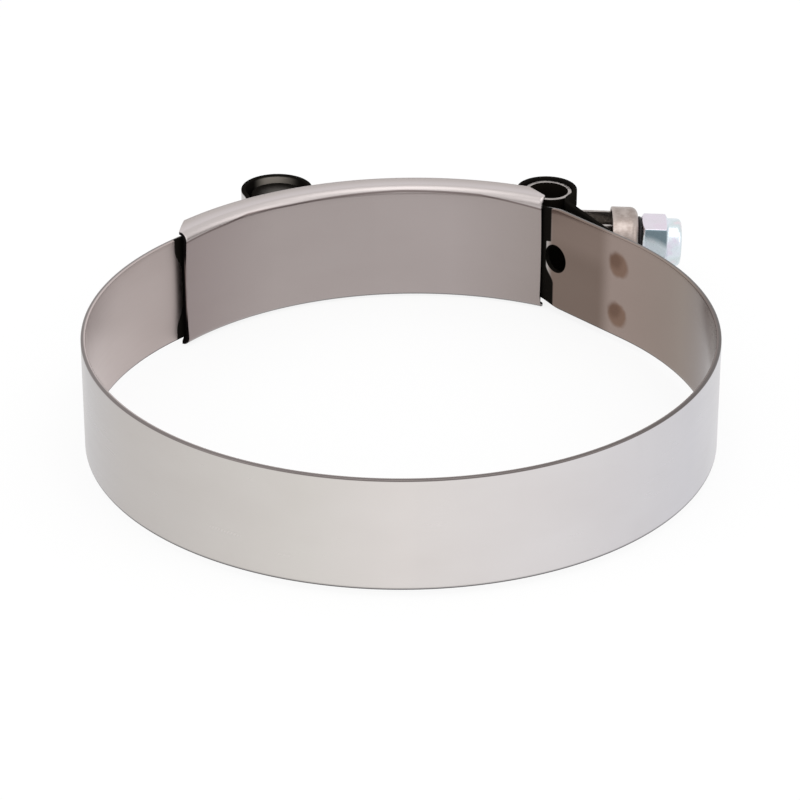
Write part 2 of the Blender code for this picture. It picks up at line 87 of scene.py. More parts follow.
class Finish:
    # A material: the settings of its Principled shader, and methods that build what drives it
    def __init__(self, name, **fixed):
        self.material = bpy.data.materials.new(name)
        self.material.use_nodes = True
        self.tree = self.material.node_tree
        self.shader = self.tree.nodes["Principled BSDF"]
        self.set(**fixed)

    def plug(self, socket, value):
        if isinstance(value, Number):
            self.tree.links.new(value.socket, socket)
        elif isinstance(value, (tuple, list)) and socket.type == "RGBA":
            socket.default_value = (*value[:3], 1.0)
        else:
            socket.default_value = value

    def add(self, kind, settings=None, sockets=None, out=0):
        node = self.tree.nodes.new(kind)
        for key, value in (settings or {}).items():
            if key == "stops":  # (place, colour) pairs of a colour ramp
                while len(node.color_ramp.elements) < len(value):
                    node.color_ramp.elements.new(0.5)
                for element, (place, colour) in zip(node.color_ramp.elements, value):
                    element.position = place
                    element.color = (*colour, 1.0)
            else:
                setattr(node, key, value)
        for key, value in (sockets or {}).items():
            self.plug(node.inputs[key], value)
        return Number(self, node.outputs[out])

    def point(self):
        return self.add("ShaderNodeTexCoord", out=3)

    def attribute(self, name):
        return self.add("ShaderNodeAttribute", {"attribute_name": name}, out=1)

    def parts(self, vector):
        node = self.add("ShaderNodeSeparateXYZ", None, {0: vector}).socket.node
        return [Number(self, output) for output in node.outputs]

    def joined(self, x, y, z):
        return self.add("ShaderNodeCombineXYZ", None, {0: x, 1: y, 2: z})

    def distance(self, vector, place):
        return self.add("ShaderNodeVectorMath", {"operation": "DISTANCE"}, {0: vector, 1: place}, out=1)

    def noise(self, vector, detail=2.0, roughness=0.5, scale=1.0):
        return self.add("ShaderNodeTexNoise", None,
                        {"Vector": vector, "Scale": scale, "Detail": detail, "Roughness": roughness})

    def fade(self, value, start, end, low=0.0, high=1.0):
        # low before start, high past end, and a smooth step between them
        return self.add("ShaderNodeMapRange", {"interpolation_type": "SMOOTHSTEP"},
                        {0: value, 1: start, 2: end, 3: low, 4: high})

    def ramp(self, value, stops):
        # the colour at each of the stops' places, with straight blends between them
        first, last = stops[0][0], stops[-1][0]
        places = [((place - first) / (last - first), colour) for place, colour in stops]
        return self.add("ShaderNodeValToRGB", {"stops": places}, {0: (value - first) / (last - first)})

    def blend(self, amount, first, second):
        return self.add("ShaderNodeMix", {"data_type": "RGBA"}, {0: amount, 6: first, 7: second}, out=2)

    def tinted(self, colour, amount, tint):
        return self.add("ShaderNodeMix", {"data_type": "RGBA", "blend_type": "MULTIPLY"},
                        {0: amount, 6: colour, 7: tint}, out=2)

    def bump(self, height, depth):
        # depth is in metres, for a height from 0 to 1
        return self.add("ShaderNodeBump", None, {"Strength": 1.0, "Distance": depth, "Height": height})

    def paintedShadeFilm(self, amount, colour):
        # painted shade: a matt film over the metal, black or of the colour given, as thick as amount
        paintedFilm, mix = (self.tree.nodes.new("ShaderNode" + kind) for kind in ("BsdfDiffuse", "MixShader"))
        self.plug(paintedFilm.inputs["Color"], colour)
        self.plug(mix.inputs[0], amount)
        wire(self.tree, (self.shader.outputs[0], mix.inputs[1]), (paintedFilm.outputs[0], mix.inputs[2]),
             (mix.outputs[0], self.tree.nodes["Material Output"].inputs[0]))

    def set(self, **driven):
        for key, value in driven.items():
            self.plug(self.shader.inputs[key.replace("_", " ")], value)
        return self.material


# Mesh helpers

def meshFrom(name, points, faces, extra=None):
    # a mesh object at the origin from plain arrays, smooth, with any extra point attributes
    mesh = bpy.data.meshes.new(name)
    mesh.from_pydata(np.asarray(points, float).reshape(-1, 3).tolist(), [], faces)
    for key, values in (extra or {}).items():
        mesh.attributes.new(key, "FLOAT_VECTOR", "POINT").data.foreach_set(
            "vector", np.asarray(values, np.float32).ravel())
    mesh.validate()
    mesh.shade_smooth()
    piece = bpy.data.objects.new(name, mesh)
    bpy.context.scene.collection.objects.link(piece)
    return piece


def faceOutwards(piece):
    # turns every face of a closed mesh outwards: the signed volume says whether all are flipped
    mesh = piece.data
    mesh.calc_loop_triangles()
    at = np.empty(len(mesh.vertices) * 3)
    mesh.vertices.foreach_get("co", at)
    corners = np.empty(len(mesh.loop_triangles) * 3, int)
    mesh.loop_triangles.foreach_get("vertices", corners)
    a, b, c = np.swapaxes(at.reshape(-1, 3)[corners.reshape(-1, 3)], 0, 1)
    if np.einsum("ij,ij->i", a, np.cross(b, c)).sum() < 0:
        mesh.flip_normals()
    return piece


def skin(name, grid, extra=None, closed=False):
    # a tube of sections: grid[i, j] is point j of section i; closed joins the last section to the first one,
    # and an open tube is capped at both ends
    rows, columns = grid.shape[:2]
    r, c = np.arange(rows if closed else rows - 1)[:, None], np.arange(columns)[None, :]
    nextR, nextC = (r + 1) % rows, (c + 1) % columns
    quads = np.stack([r * columns + c, r * columns + nextC, nextR * columns + nextC, nextR * columns + c], -1)
    faces = quads.reshape(-1, 4).tolist()
    if not closed:
        faces += [list(range(columns))[::-1], list(range((rows - 1) * columns, rows * columns))]
    return faceOutwards(meshFrom(name, grid, faces, extra))


def applied(piece):
    # bakes the modifiers into the mesh
    graph = bpy.context.evaluated_depsgraph_get()
    mesh = bpy.data.meshes.new_from_object(piece.evaluated_get(graph))
    old = piece.data
    piece.modifiers.clear()
    piece.data = mesh
    mesh.name = piece.name
    bpy.data.meshes.remove(old)
    return piece


def cut(piece, cutters):
    for cutter in cutters:
        modifier = piece.modifiers.new(cutter.name, "BOOLEAN")
        modifier.operation, modifier.solver, modifier.object = "DIFFERENCE", "EXACT", cutter
    bpy.context.view_layer.update()
    applied(piece)
    for cutter in cutters:
        bpy.data.objects.remove(cutter, do_unlink=True)
    return piece


def joinedInto(piece, other):
    pair = [piece, other]
    with bpy.context.temp_override(active_object=piece, selected_editable_objects=pair, selected_objects=pair):
        bpy.ops.object.join()
    return piece


def rounded(piece, width, limit=50.0):
    # breaks the sharp edges of a clean mesh
    bevel = piece.modifiers.new("edges", "BEVEL")
    bevel.width, bevel.segments = width, 2
    bevel.limit_method, bevel.angle_limit = "ANGLE", math.radians(limit)
    bevel.harden_normals = True
    return applied(piece)


def sharpPast(piece, angle=32.0):
    piece.data.shade_smooth()
    piece.data.set_sharp_from_angle(angle=math.radians(angle))
    return piece


def dress(piece, body, nodes, material):
    piece.data.materials.clear()
    piece.data.materials.append(material)
    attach(piece, body)
    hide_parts(*nodes)


def smoothStep(x):
    x = np.clip(x, 0.0, 1.0)
    return x * x * (3 - 2 * x)


# The strip: band and both loops in one length

strip = {
    "ringMiddle": np.array([-0.007, -5.762, 1.088]) * mm,  # ring's axis, at the band's lower edge
    "ringRadius": 51.45 * mm,  # middle of the sheet
    "width": 19.0 * mm,
    "thickness": 0.8 * mm,
    "edgeRadius": 0.22 * mm,  # the slit edges are rolled smooth
    "necking": 0.7 * mm,
    "neckLength": 5.0 * mm,
    "leadInRadius": 20.0 * mm,
    "tailGap": 0.1 * mm,
    "tailLength": 7.0 * mm,
    "weldInset": 0.4 * mm,
    "weldSpacing": 9.4 * mm,
    "markRadius": 2.1 * mm,
    "markDepth": 0.12 * mm,
    "nuggetRadius": 1.6 * mm,
    "holeAngle": math.radians(30.3),
    "holeRadius": 2.5 * mm,
    "boltLineY": 57.1 * mm,
    "right": {"x": 25.7 * mm, "radius": 5.35 * mm, "lift": 0.8 * mm, "tailBend": 3.0 * mm,
              "slope": math.radians(13.0), "slopeRun": 14.0 * mm, "landingBend": 12.0 * mm},
    "left": {"x": 22.0 * mm, "radius": 6.3 * mm, "lift": 0.0, "tailBend": 10.0 * mm,
             "slope": 0.0, "slopeRun": 0.0, "landingBend": 0.0},
    "slotCorner": 1.0 * mm,
    # each slot: loop, half width, half height, and where its cut starts and ends, from the loop's centre along X
    "slots": [("left", 2.765 * mm, 4.965 * mm, 2.4 * mm, 8.4 * mm),
              ("right", 2.765 * mm, 4.965 * mm, -7 * mm, 0.0),
              ("right", 3.665 * mm, 5.85 * mm, 0.0, 30 * mm)],
}


def onArc(angles, radius):
    # points at radius from the ring's axis and their sides, each angle counted from +Y towards +X
    sides = np.stack([np.sin(angles), np.cos(angles)], -1)
    return radius * sides, sides


def stripEnd(end):
    # Half the strip, from the front of the ring to one tail, for a loop on the +X side: an arc of the ring, its
    # tangent, a lead-in arc, the loop, a bend back, a slope down to the band and the tail on it. The loop goes
    # past half a turn by turn, where cos(turn) = height of the bend's hub over the loop's / (loop + bend).
    # Gives points, the side facing out of the ring and then into the loop, the necking and the weld's place.
    ring, t = strip["ringRadius"], strip["thickness"]
    centre = np.array([end["x"], strip["boltLineY"]])
    loop, bend, lift = end["radius"] - t / 2, end["tailBend"], end["lift"]
    slope, slopeRun, landingBend = end["slope"], end["slopeRun"], end["landingBend"]
    leave = math.atan2(*centre) + math.acos((ring + loop + lift) / math.hypot(*centre))
    out = np.array([math.sin(leave), math.cos(leave)])
    along = np.array([-out[1], out[0]])
    lead = math.acos(1 - lift / (strip["leadInRadius"] - loop))
    offset = t + strip["tailGap"]
    rise = landingBend * (1 - math.cos(slope)) + slopeRun * math.sin(slope) + bend * math.cos(slope)
    turn = math.acos((ring + offset + rise - centre @ out) / (loop + bend))

    def side(angles):
        return np.cos(angles)[..., None] * out - np.sin(angles)[..., None] * along

    leadHub = centre + side(lead) * (strip["leadInRadius"] - loop)
    tailHub = centre - side(math.pi + turn) * (loop + bend)
    straight = leadHub @ along
    stretches = []

    def stretch(points, sides, necking=1.0):
        stretches.append((points, np.broadcast_to(sides, points.shape), np.broadcast_to(necking, len(points))))
        return points[-1]

    stretch(*onArc(np.radians(np.arange(180.0, math.degrees(leave) - 0.3, -1.0)), ring), 0.0)
    reach = np.linspace(0.0, straight, 34)
    stretch(out * ring + reach[:, None] * along, out, smoothStep(1 - (straight - reach) / strip["neckLength"]))
    if lift:
        angles = np.linspace(0.0, lead, 9)[1:]
        stretch(leadHub - side(angles) * strip["leadInRadius"], side(angles))
    angles = np.linspace(lead, math.pi + turn, 72)[1:]
    stretch(centre - side(angles) * loop, side(angles))
    foot = math.pi + slope
    angles = np.linspace(math.pi + turn, foot, 20)[1:]
    last = stretch(tailHub + side(angles) * bend, side(angles))
    if slopeRun:
        down = along * math.cos(slope) + out * math.sin(slope)
        last = stretch(last - np.linspace(0.0, slopeRun, 21)[1:, None] * down, side(foot))
        tailHub = last - side(foot) * landingBend
        angles = np.linspace(foot, math.pi, 9)[1:]
        last = stretch(tailHub + side(angles) * landingBend, side(angles))
    landing = tailHub @ along
    flat = min(landing, strip["tailLength"])
    stretch(last - np.linspace(0.0, flat, 13)[1:, None] * along, -out)
    if strip["tailLength"] > flat:
        angles = np.linspace(leave, leave + (strip["tailLength"] - flat) / ring, 8)[1:]
        points, sides = onArc(angles, ring + offset)
        stretch(points, -sides)
    points, sides, necking = (np.concatenate(each) for each in zip(*stretches))
    run = np.concatenate([[0.0], np.cumsum(np.linalg.norm(np.diff(points, axis=0), axis=1))])
    return {"points": points, "sides": sides, "necking": necking, "run": run, "out": out,
            "loopAt": run[np.argmax(necking > 0.5)], "tailFace": ring + offset + t / 2,
            "weld": out * ring + along * (landing + strip["weldInset"])}


rightEnd, leftEnd = stripEnd(strip["right"]), stripEnd(strip["left"])
flip = np.array([-1.0, 1.0])


def stripProfile(half, radius, across, corner):
    # Rounded rectangle of a sheet, as three arrays: offset through the sheet, share of the straight height, and
    # height added by the rounded corner. It runs up the inner face, over the edge and down the outer face.
    up = np.linspace(-1.0, 1.0, across)
    quarter = np.linspace(0.0, math.pi / 2, corner + 1)[1:]
    offset = [np.full(across, -half), -half + radius - radius * np.cos(quarter),
              half - radius + radius * np.sin(quarter)]
    share = [up, np.ones(2 * corner)]
    rise = [np.zeros(across), radius * np.sin(quarter), radius * np.cos(quarter)]
    offset, share, rise = (np.concatenate(a) for a in (offset, share, rise))
    # the other half is the same turned by half a turn
    return np.concatenate([offset, -offset]), np.concatenate([share, -share]), np.concatenate([rise, -rise])


def stripLine():
    # the whole centreline from the left tail to the right one: points, sides, necking and running length
    return [np.concatenate([leftEnd[key][:0:-1] * turned, rightEnd[key]])
            for key, turned in (("points", flip), ("sides", flip), ("necking", 1), ("run", -1))]


def stripSurface():
    # point(i, j) = centreline(i) + side(i) * offset(j), at height middle + share(j) * straight half + rise(j)
    place, side, necking, run = stripLine()
    offset, share, rise = stripProfile(strip["thickness"] / 2, strip["edgeRadius"], 25, 4)
    flatPlace = place[:, None, :] + side[:, None, :] * offset[None, :, None]
    half = strip["width"] / 2 - strip["necking"] * necking - strip["edgeRadius"]
    height = strip["width"] / 2 + share[None, :] * half[:, None] + rise[None, :]
    return skin("clampBand", np.concatenate([flatPlace, height[..., None]], -1) + strip["ringMiddle"])


def markStrip(piece):
    # Stores each point's running length, height and face (-1 inside the ring, 1 outside), from the foot of its
    # perpendicular on the nearest stretch of the centreline.
    place, side, _, run = stripLine()
    start, step = place[:-1], np.diff(place, axis=0)
    length = (step ** 2).sum(1)
    at = np.empty(len(piece.data.vertices) * 3)
    piece.data.vertices.foreach_get("co", at)
    at = at.reshape(-1, 3) - strip["ringMiddle"]
    marks = np.empty_like(at)
    for first in range(0, len(at), 4000):
        flat = at[first:first + 4000, None, :2] - start
        share = np.clip((flat * step).sum(2) / length, 0, 1)
        gap = flat - share[..., None] * step
        nearest = (gap ** 2).sum(2).argmin(1)
        row = np.arange(len(nearest))
        share, gap = share[row, nearest], gap[row, nearest]
        marks[first:first + 4000, 0] = run[nearest] + share * np.diff(run)[nearest]
        marks[first:first + 4000, 2] = (gap * side[nearest]).sum(1) / (strip["thickness"] / 2)
    marks[:, 1] = at[:, 2]
    piece.data.attributes.new("strip", "FLOAT_VECTOR", "POINT").data.foreach_set(
        "vector", marks.astype(np.float32).ravel())


def prismAlong(name, outline, start, direction, length):
    # a closed outline (u, v) in the plane across direction, v upright, drawn out to length from start
    direction = np.asarray(direction, float)
    u = np.cross([0.0, 0.0, 1.0], direction)
    outline = np.asarray(outline, float)
    ring = start + outline[:, :1] * u + outline[:, 1:] * np.array([0.0, 0.0, 1.0])
    return skin(name, np.stack([ring, ring + direction * length]))


def roundOutline(radius, count=64):
    turn = np.linspace(0.0, math.tau, count, endpoint=False)
    return np.stack([radius * np.cos(turn), radius * np.sin(turn)], -1)


def slotOutline(halfWidth, halfHeight, corner, count=9):
    # an upright rectangle with rounded corners
    turn = (np.arange(4)[:, None] + np.linspace(0.0, 1.0, count)[None, :]) * math.pi / 2
    across, up = np.array([1, -1, -1, 1])[:, None], np.array([1, 1, -1, -1])[:, None]
    return np.stack([across * (halfWidth - corner) + corner * np.cos(turn),
                     up * (halfHeight - corner) + corner * np.sin(turn)], -1).reshape(-1, 2)


def inFrame(x, y, z):
    return np.array([x, y, z]) + strip["ringMiddle"]


band = stripSurface()
middle = strip["width"] / 2
lineY = strip["boltLineY"]
loopX = {"right": strip["right"]["x"], "left": -strip["left"]["x"]}
out = rightEnd["out"]
holeSide = np.array([math.sin(strip["holeAngle"]), math.cos(strip["holeAngle"])])
holePlace = holeSide * strip["ringRadius"] / (holeSide @ out)
cutters = [prismAlong("slot", slotOutline(halfWidth, halfHeight, strip["slotCorner"]),
                      inFrame(loopX[loop] + start, lineY, middle), (1, 0, 0), end - start)
           for loop, halfWidth, halfHeight, start, end in strip["slots"]]
cutters.append(prismAlong("toolingHole", roundOutline(strip["holeRadius"]),
                          inFrame(*(holePlace - out * 2 * mm), middle), (*out, 0.0), 4 * mm))
welds = [(weld, side, middle + level * strip["weldSpacing"] / 2)
         for weld, side in ((rightEnd["weld"], out), (leftEnd["weld"] * flip, leftEnd["out"] * flip))
         for level in (-1, 1)]
# the welding tip leaves a shallow round mark on the tail
markAt = rightEnd["tailFace"] - strip["ringRadius"] - strip["markDepth"]
for weld, side, level in welds:
    cutters.append(prismAlong("weldMark", roundOutline(strip["markRadius"], 40),
                              inFrame(*(weld + side * markAt), level), (*side, 0.0), 1 * mm))
cut(band, cutters)
# the fused metal of each spot weld, between the band and its tail
for weld, side, level in welds:
    joinedInto(band, prismAlong("weldNugget", roundOutline(strip["nuggetRadius"], 32),
                                inFrame(*(weld + side * strip["thickness"] / 4), level), (*side, 0.0),
                                strip["thickness"] / 2 + strip["tailGap"]))
markStrip(band)
sharpPast(band)
stripLength = (leftEnd["run"][-1] + rightEnd["run"][-1]) / mm
print(f"Band: {len(band.data.vertices)} points, strip length {stripLength:.1f} mm")


# Floating bridge

bridge = {
    "centre": np.array([2.843, -1.707]) * mm,
    "radius": 49.05 * mm,  # inside face of the web
    "middle": 1.088 * mm + 9.5 * mm,
    "lift": 0.12 * mm,
    "slope": -0.0015,
    "thickness": 0.55 * mm,
    "bendRadius": 1.5 * mm,
    "halfHeight": 10.67 * mm,
    "flange": 4.0 * mm,
    "flangeStub": 0.05 * mm,
    "firstAngle": -53.681,
    "lastAngle": 26.04,
    "endCut": 3.8 * mm,
    "crown": 0.3 * mm,
    "crownLength": 13.0 * mm,
}


def bridgeSurface():
    # Section: a web with a bent flange on each edge, as two offset faces. Near the ends the web bows outwards
    # by crown and the flanges run down to nothing along a slanting cut. Section i stands at angle(i).
    s = bridge
    angles = np.radians(np.unique(np.concatenate([
        np.linspace(s["firstAngle"], s["lastAngle"], 150),
        s["firstAngle"] + np.degrees(s["endCut"] / s["radius"]) * np.linspace(0, 1, 5),
        s["lastAngle"] - np.degrees(s["endCut"] / s["radius"]) * np.linspace(0, 1, 5)]).round(4)))
    run = s["radius"] * (angles - angles[0])
    fromEnd = np.minimum(run, run[-1] - run)
    crown = s["crown"] * smoothStep(1 - fromEnd / s["crownLength"])[:, None]
    full = s["flange"] - s["bendRadius"] - s["flangeStub"]
    reach = s["bendRadius"] + s["flangeStub"] + full * np.minimum(1.0, fromEnd / s["endCut"])
    web = s["halfHeight"] - s["bendRadius"]
    turn = np.linspace(0.0, math.pi / 2, 10)
    share = np.linspace(1.0, -1.0, 19)[1:-1]
    faces = []
    for inset in (0.0, s["thickness"]):
        r = s["bendRadius"] - inset
        tips = np.linspace(1.0, 0.0, 4)[:-1]
        flangeOut = s["bendRadius"] + (reach - s["bendRadius"])[:, None] * tips
        bendOut = np.broadcast_to(s["bendRadius"] - r * np.sin(turn), (len(angles), 10))
        webOut = inset + crown * (1 - share ** 2)
        top = s["halfHeight"] - inset
        edge = np.concatenate([np.full(3, top), web + r * np.cos(turn)])
        height = np.concatenate([edge, web * share, -edge[::-1]])
        half = np.concatenate([flangeOut, bendOut], 1)
        face = np.concatenate([half, webOut, half[:, ::-1]], 1)
        faces.append((face, np.broadcast_to(height, face.shape), np.full(face.shape, 1.0 if inset else -1.0)))
    outwards, height, face = (np.concatenate([a, b[:, ::-1]], 1) for a, b in zip(*faces))
    x = np.sin(angles)[:, None] * (s["radius"] + outwards) + s["centre"][0]
    y = np.cos(angles)[:, None] * (s["radius"] + outwards) + s["centre"][1]
    z = s["middle"] + height + s["lift"] + s["slope"] * x
    along = np.broadcast_to(run[:, None], height.shape)
    return skin("floatingBridge", np.stack([x, y, z], -1), {"strip": np.stack([along, height, face], -1)})


bridgePiece = sharpPast(rounded(bridgeSurface(), 0.1 * mm))
print("Bridge:", len(bridgePiece.data.vertices), "points")


# Bolt line: every piece on it is turned or lofted along the bolt's own X axis

boltLine = {
    "origin": np.array([25.693, 51.338, 9.688]) * mm,  # where the bolt crosses the trunnion
    "droop": math.radians(2.0),
    "threadRadius": 2.415 * mm,
    "pitch": 0.794 * mm,
    "threadDepth": 0.43 * mm,
    "threadFlat": 0.1,  # share of the crest and of the root that is flat
    "threadStart": -40.0 * mm,
    "end": 23.7 * mm,
    "headAt": -47.529 * mm,
    "headRadius": 5.0 * mm,
    "headHalf": 6.9 * mm,
    "headEdge": 0.4 * mm,
    "headRings": (3.4, 1.6, 0.5),  # radii of the rows on its end faces, in millimetres
}
lineX = np.array([math.cos(boltLine["droop"]), 0.0, -math.sin(boltLine["droop"])])
lineY3 = np.array([0.0, 1.0, 0.0])
lineZ = np.cross(lineX, lineY3)


def onLine(x, y, z):
    # bolt line coordinates to the frame's
    x, y, z = np.broadcast_arrays(x, y, z)
    return boltLine["origin"] + x[..., None] * lineX + y[..., None] * lineY3 + z[..., None] * lineZ


def arcCorner(centre, radius, start, sweep=math.pi / 2, count=6):
    # points of a rounded corner in (along, radius)
    turn = start + np.linspace(0.0, sweep, count)
    return np.stack([centre[0] + radius * np.cos(turn), centre[1] + radius * np.sin(turn)], -1)


def turnedPiece(name, profile, sides=96, upright=0.0, closed=True):
    # Spins a profile of (along, radius) rows round the bolt line, or round an upright through the line at
    # x = upright. A row may give one radius for each side, so that a hexagon's flats and corners come out true.
    turn = np.linspace(0.0, math.tau, sides, endpoint=False)
    along = np.stack([np.broadcast_to(row[0], sides) for row in profile])
    radius = np.stack([np.broadcast_to(row[1], sides) for row in profile])
    a, b = radius * np.cos(turn), radius * np.sin(turn)
    grid = onLine(upright + a, b, along) if upright else onLine(along, a, b)
    return skin(name, grid, closed=closed)


def threadedBar():
    # radius(x, turn) = bolt radius - depth * share, where share is 0 on the crest and 1 in the root of a helix
    s = boltLine
    x = np.arange(s["headAt"], s["end"], s["pitch"] / 12)
    x = np.append(x, s["end"])
    turn = np.linspace(0.0, math.tau, 48, endpoint=False)
    phase = (x[:, None] / s["pitch"] - turn[None, :] / math.tau) % 1.0
    tooth = np.clip((np.abs(phase - 0.5) * 2 - s["threadFlat"]) / (1 - 2 * s["threadFlat"]), 0.0, 1.0)
    start = smoothStep((x - s["threadStart"]) / (2 * s["pitch"]))[:, None]
    radius = s["threadRadius"] - s["threadDepth"] * start * tooth
    chamfer = s["threadRadius"] - s["threadDepth"] - 0.05 * mm + (s["end"] - x)[:, None]
    radius = np.minimum(radius, np.maximum(chamfer, 0.4 * mm))
    return skin("shankThread", onLine(x[:, None], radius * np.cos(turn), radius * np.sin(turn)))


def headProfile():
    # (along, radius) from the middle of the underside up to the middle of the top
    half, radius, edge = boltLine["headHalf"], boltLine["headRadius"], boltLine["headEdge"]
    disc = np.array([[half, row * mm] for row in boltLine["headRings"]])
    lower = arcCorner((-half + edge, radius - edge), edge, math.pi, -math.pi / 2)
    upper = arcCorner((half - edge, radius - edge), edge, 0.0)[::-1]
    side = [[-half / 2, radius], [0, radius], [half / 2, radius]]
    return np.concatenate([disc[::-1] * [-1, 1], lower, side, upper, disc])


tBolt = turnedPiece("tBolt", headProfile(), 96, boltLine["headAt"], closed=False)
sharpPast(joinedInto(tBolt, threadedBar()))

endCap = {"mouth": 11.45 * mm, "end": 16.12 * mm, "inner": 5.509 * mm, "wall": 0.5 * mm, "corner": 1.3 * mm,
          "hole": 2.665 * mm, "lip": 0.16 * mm, "edge": 0.12 * mm}


def capProfile():
    # a drawn cup: the inside's corner, the flat end with its hole, the outside's corner and the rounded mouth
    s = endCap
    face, back, hole, lip, inner = s["end"], s["end"] - s["wall"], s["hole"], s["lip"], s["inner"]
    outer, mouth, middle = inner + s["wall"], s["mouth"] + lip, s["mouth"] + 2.2 * mm
    bend = (face - s["corner"], outer - s["corner"])
    return np.concatenate([
        arcCorner(bend, s["corner"] - s["wall"], math.pi / 2, -math.pi / 2, 10),
        [[back, hole + 0.5 * mm], [back, hole], [face - s["edge"], hole], [face, hole + s["edge"]],
         [face, hole + 0.9 * mm]],
        arcCorner(bend, s["corner"], 0.0, count=10), [[middle, outer], [mouth, outer]],
        arcCorner((mouth, outer - lip), lip, math.pi / 2)[1:],
        arcCorner((mouth, inner + lip), lip, math.pi)[1:], [[middle, inner]]])


capPiece = sharpPast(turnedPiece("endCap", capProfile(), 120), 60)

washer = {"start": 16.24 * mm, "end": 16.74 * mm, "outer": 4.4 * mm, "inner": 2.665 * mm, "edge": 0.15 * mm}


def ringProfile(s):
    # the section of a flat ring with rounded edges
    edge = s["edge"]
    near, far, low, high = s["start"] + edge, s["end"] - edge, s["inner"] + edge, s["outer"] - edge
    middles = (far, high), (near, high), (near, low), (far, low)
    return np.concatenate([arcCorner(place, edge, turn * math.pi / 2) for turn, place in enumerate(middles)])


washerPiece = sharpPast(turnedPiece("thrustWasher", ringProfile(washer), 96), 60)

nut = {"start": 16.86 * mm, "hex": 4.6 * mm, "length": 7.05 * mm, "flat": 4.365 * mm, "collar": 4.25 * mm,
       "wall": 0.5 * mm, "crimp": 0.8 * mm, "lip": 0.5 * mm, "bore": 2.665 * mm, "chamfer": math.radians(30.0),
       "turn": math.radians(71.0), "boreEdge": 0.35 * mm, "cornerRoll": 0.06 * mm,
       "faceInset": 0.12 * mm}


def nutProfile(sides):
    # Rows (along, radius for each side). hexRadius(turn) = flat / cos(angle from the nearest flat), and each
    # chamfer row stands where a cone of the chamfer's slope meets that radius, so the flats end in arcs.
    s = nut
    turn = np.linspace(0.0, math.tau, sides, endpoint=False) - s["turn"] + math.pi / 6
    fromFlat = (turn + math.pi / 6) % (math.pi / 3) - math.pi / 6
    hexRadius = s["flat"] / np.cos(fromFlat)
    corner = s["flat"] / math.cos(math.pi / 6)
    hexRadius = np.minimum(hexRadius, corner - s["cornerRoll"])  # corners slightly rolled
    face = s["flat"] - s["faceInset"]
    drop = (hexRadius - face) * math.tan(s["chamfer"])
    start, hexEnd, end = s["start"], s["start"] + s["hex"], s["start"] + s["length"]
    root = hexEnd - (s["collar"] - face) * math.tan(s["chamfer"])
    rows = [(start, s["bore"] + s["boreEdge"]), (start, face - 0.6 * mm), (start, face),
            (start + drop, hexRadius), (start + drop + 0.1 * mm, hexRadius), (start + s["hex"] / 2, hexRadius),
            (hexEnd - drop - 0.1 * mm, hexRadius), (hexEnd - drop, hexRadius),
            (hexEnd, s["collar"] + 0.02 * mm), (hexEnd + 0.12 * mm, s["collar"])]
    rows += [tuple(row) for row in arcCorner((end - s["crimp"], s["collar"] - s["crimp"]), s["crimp"],
                                             math.pi / 2, -math.pi / 2, 9)]
    lipRadius = s["collar"] - s["wall"] - s["lip"]
    rows += [(end, lipRadius + 0.1 * mm), (end - 0.1 * mm, lipRadius), (end - s["wall"], lipRadius),
             (end - s["wall"], s["collar"] - s["wall"]), (hexEnd, s["collar"] - s["wall"]), (hexEnd, s["bore"]),
             (start + s["boreEdge"], s["bore"])]
    return rows


nutPiece = rounded(turnedPiece("lockNut", nutProfile(144), 144), 0.09 * mm, limit=24.0)
sharpPast(nutPiece, 28)

insert = {"start": 21.58 * mm, "end": 23.29 * mm, "outer": 3.63 * mm, "inner": 2.535 * mm, "edge": 0.2 * mm}
insertPiece = sharpPast(turnedPiece("nylonInsert", ringProfile(insert), 72), 60)


def mergedCopy(node, name):
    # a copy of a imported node's triangles with its doubles merged
    piece = bpy.data.objects.new(name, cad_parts[node].data.copy())
    piece.data.name = name
    bpy.context.scene.collection.objects.link(piece)
    if piece.data.has_custom_normals:
        with bpy.context.temp_override(object=piece, active_object=piece):
            bpy.ops.mesh.customdata_custom_splitnormals_clear()
    weld = piece.modifiers.new("merge", "WELD")
    weld.merge_threshold = 0.005 * mm
    flatten = piece.modifiers.new("flat faces", "DECIMATE")
    flatten.decimate_type, flatten.angle_limit = "DISSOLVE", math.radians(1.0)
    return applied(piece)


trunnionPiece = sharpPast(rounded(mergedCopy("trunnion", "trunnionBarrel"), 0.08 * mm, 40.0))
print("Bolt line made")


# Finishes. Ramps and fades of the strips run over their length and height in metres.

